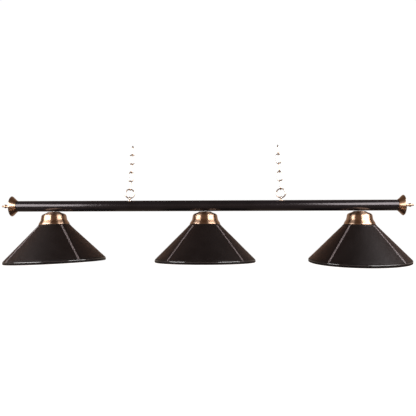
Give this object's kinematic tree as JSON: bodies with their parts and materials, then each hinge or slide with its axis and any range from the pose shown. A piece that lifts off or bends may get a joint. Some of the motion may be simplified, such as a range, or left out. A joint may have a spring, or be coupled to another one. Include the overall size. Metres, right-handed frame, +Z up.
{
  "type": "pool table lamp",
  "caption": "Hanging lamp for a pool table: leather-covered cone shades with stitched seams on spun bronze fitters, under a straight black bar hung by chains.",
  "frame": {"origin": "where the left chain's top link bears on its hook, on the link's inner top", "axes": "+X along the bar, from the left chain towards the right one; +Y from the front to the back; +Z up"},
  "size_m": [1.524, 0.3836, 0.4449],
  "materials": {
    "black_paint": "satin",
    "bronze": "brushed, bronzed",
    "chain_brass": "polished",
    "steel": "zinc plated",
    "leather": "grained",
    "hem_leather": "grained, folded edge",
    "white_enamel": "semi-gloss enamel",
    "porcelain": "glazed",
    "brass": "plain",
    "bulb_glass": "frosted",
    "wire": "insulated"
  },
  "bodies": {
    "top_links": {"link_5_left": "chain_brass", "link_5_right": "chain_brass"},
    "link_4_left": {"link_4_left": "chain_brass"},
    "link_3_left": {"link_3_left": "chain_brass"},
    "link_2_left": {"link_2_left": "chain_brass"},
    "link_1_left": {"link_1_left": "chain_brass"},
    "ring_left": {"ring_left": "chain_brass"},
    "link_4_right": {"link_4_right": "chain_brass"},
    "link_3_right": {"link_3_right": "chain_brass"},
    "link_2_right": {"link_2_right": "chain_brass"},
    "link_1_right": {"link_1_right": "chain_brass"},
    "ring_right": {"ring_right": "chain_brass"},
    "bar": {"bar_tube": "black_paint", "lead_splice": "wire", "end_cap_left": "bronze", "end_cap_right": "bronze", "end_plug_left": "steel", "end_plug_right": "steel", "finial_left": "bronze", "finial_right": "bronze", "loop_left": "chain_brass", "loop_right": "chain_brass", "loop_nut_left": "steel", "loop_nut_right": "steel", "fitter_left": "bronze", "fitter_middle": "bronze", "fitter_right": "bronze", "nipple_left": "steel", "nipple_middle": "steel", "nipple_right": "steel", "nipple_nut_left": "steel", "nipple_nut_middle": "steel", "nipple_nut_right": "steel", "socket_body_left": "porcelain", "socket_body_middle": "porcelain", "socket_body_right": "porcelain", "socket_shell_left": "brass", "socket_shell_middle": "brass", "socket_shell_right": "brass", "shade_ring_left": "porcelain", "shade_ring_middle": "porcelain", "shade_ring_right": "porcelain", "lead_left": "wire", "lead_middle": "wire", "lead_right": "wire"},
    "shade_left": {"shade_liner_left": "white_enamel", "shade_cover_left": "leather", "shade_hem_left": "hem_leather"},
    "bulb_left": {"bulb_glass_left": "bulb_glass", "bulb_base_left": "brass"},
    "shade_middle": {"shade_liner_middle": "white_enamel", "shade_cover_middle": "leather", "shade_hem_middle": "hem_leather"},
    "bulb_middle": {"bulb_glass_middle": "bulb_glass", "bulb_base_middle": "brass"},
    "shade_right": {"shade_liner_right": "white_enamel", "shade_cover_right": "leather", "shade_hem_right": "hem_leather"},
    "bulb_right": {"bulb_glass_right": "bulb_glass", "bulb_base_right": "brass"}
  },
  "joints": [
    {"name": "link_4_left_swing", "type": "hinge", "parent": "top_links", "child": "link_4_left", "pos_m": [-0.00182, 0, -0.03065], "axis": [1, 0, 0], "range_deg": [-20, 20]},
    {"name": "link_3_left_swing", "type": "hinge", "parent": "link_4_left", "child": "link_3_left", "pos_m": [-0.00396, 0, -0.06668], "axis": [1, 0, 0], "range_deg": [-20, 20]},
    {"name": "link_2_left_swing", "type": "hinge", "parent": "link_3_left", "child": "link_2_left", "pos_m": [-0.00566, 0, -0.09533], "axis": [1, 0, 0], "range_deg": [-20, 20]},
    {"name": "link_1_left_swing", "type": "hinge", "parent": "link_2_left", "child": "link_1_left", "pos_m": [-0.00781, 0, -0.13137], "axis": [1, 0, 0], "range_deg": [-20, 20]},
    {"name": "ring_left_swing", "type": "hinge", "parent": "link_1_left", "child": "ring_left", "pos_m": [-0.00948, 0, -0.15952], "axis": [1, 0, 0], "range_deg": [-30, 30]},
    {"name": "bar_swing", "type": "hinge", "parent": "ring_left", "child": "bar", "pos_m": [-0.0112, 0, -0.19306], "axis": [1, 0, 0], "range_deg": [-30, 30]},
    {"name": "link_4_right_swing", "type": "hinge", "parent": "top_links", "child": "link_4_right", "pos_m": [0.54041, 0, -0.03065], "axis": [1, 0, 0], "range_deg": [-20, 20]},
    {"name": "link_3_right_swing", "type": "hinge", "parent": "link_4_right", "child": "link_3_right", "pos_m": [0.54256, 0, -0.06668], "axis": [1, 0, 0], "range_deg": [-20, 20]},
    {"name": "link_2_right_swing", "type": "hinge", "parent": "link_3_right", "child": "link_2_right", "pos_m": [0.54426, 0, -0.09533], "axis": [1, 0, 0], "range_deg": [-20, 20]},
    {"name": "link_1_right_swing", "type": "hinge", "parent": "link_2_right", "child": "link_1_right", "pos_m": [0.5464, 0, -0.13137], "axis": [1, 0, 0], "range_deg": [-20, 20]},
    {"name": "ring_right_swing", "type": "hinge", "parent": "link_1_right", "child": "ring_right", "pos_m": [0.54807, 0, -0.15952], "axis": [1, 0, 0], "range_deg": [-30, 30]},
    {"name": "shade_left_turn", "type": "hinge", "parent": "bar", "child": "shade_left", "pos_m": [-0.2967, 0, -0.22157], "axis": [-0.0419, 0, 0.9991], "continuous": true},
    {"name": "bulb_left_turn", "type": "hinge", "parent": "bar", "child": "bulb_left", "pos_m": [-0.2967, 0, -0.22157], "axis": [-0.0419, 0, 0.9991], "continuous": true},
    {"name": "shade_middle_turn", "type": "hinge", "parent": "bar", "child": "shade_middle", "pos_m": [0.2693, 0, -0.22157], "axis": [0, 0, 1], "continuous": true},
    {"name": "bulb_middle_turn", "type": "hinge", "parent": "bar", "child": "bulb_middle", "pos_m": [0.2693, 0, -0.22157], "axis": [0, 0, 1], "continuous": true},
    {"name": "shade_right_turn", "type": "hinge", "parent": "bar", "child": "shade_right", "pos_m": [0.8353, 0, -0.22157], "axis": [0, -0.0698, 0.9976], "continuous": true},
    {"name": "bulb_right_turn", "type": "hinge", "parent": "bar", "child": "bulb_right", "pos_m": [0.8353, 0, -0.22157], "axis": [0, -0.0698, 0.9976], "continuous": true}
  ],
  "couplings": [
    {"joint": "link_4_right_swing", "follows": "link_4_left_swing", "ratio": 1},
    {"joint": "link_3_right_swing", "follows": "link_3_left_swing", "ratio": 1},
    {"joint": "link_2_right_swing", "follows": "link_2_left_swing", "ratio": 1},
    {"joint": "link_1_right_swing", "follows": "link_1_left_swing", "ratio": 1},
    {"joint": "ring_right_swing", "follows": "ring_left_swing", "ratio": 1}
  ]
}
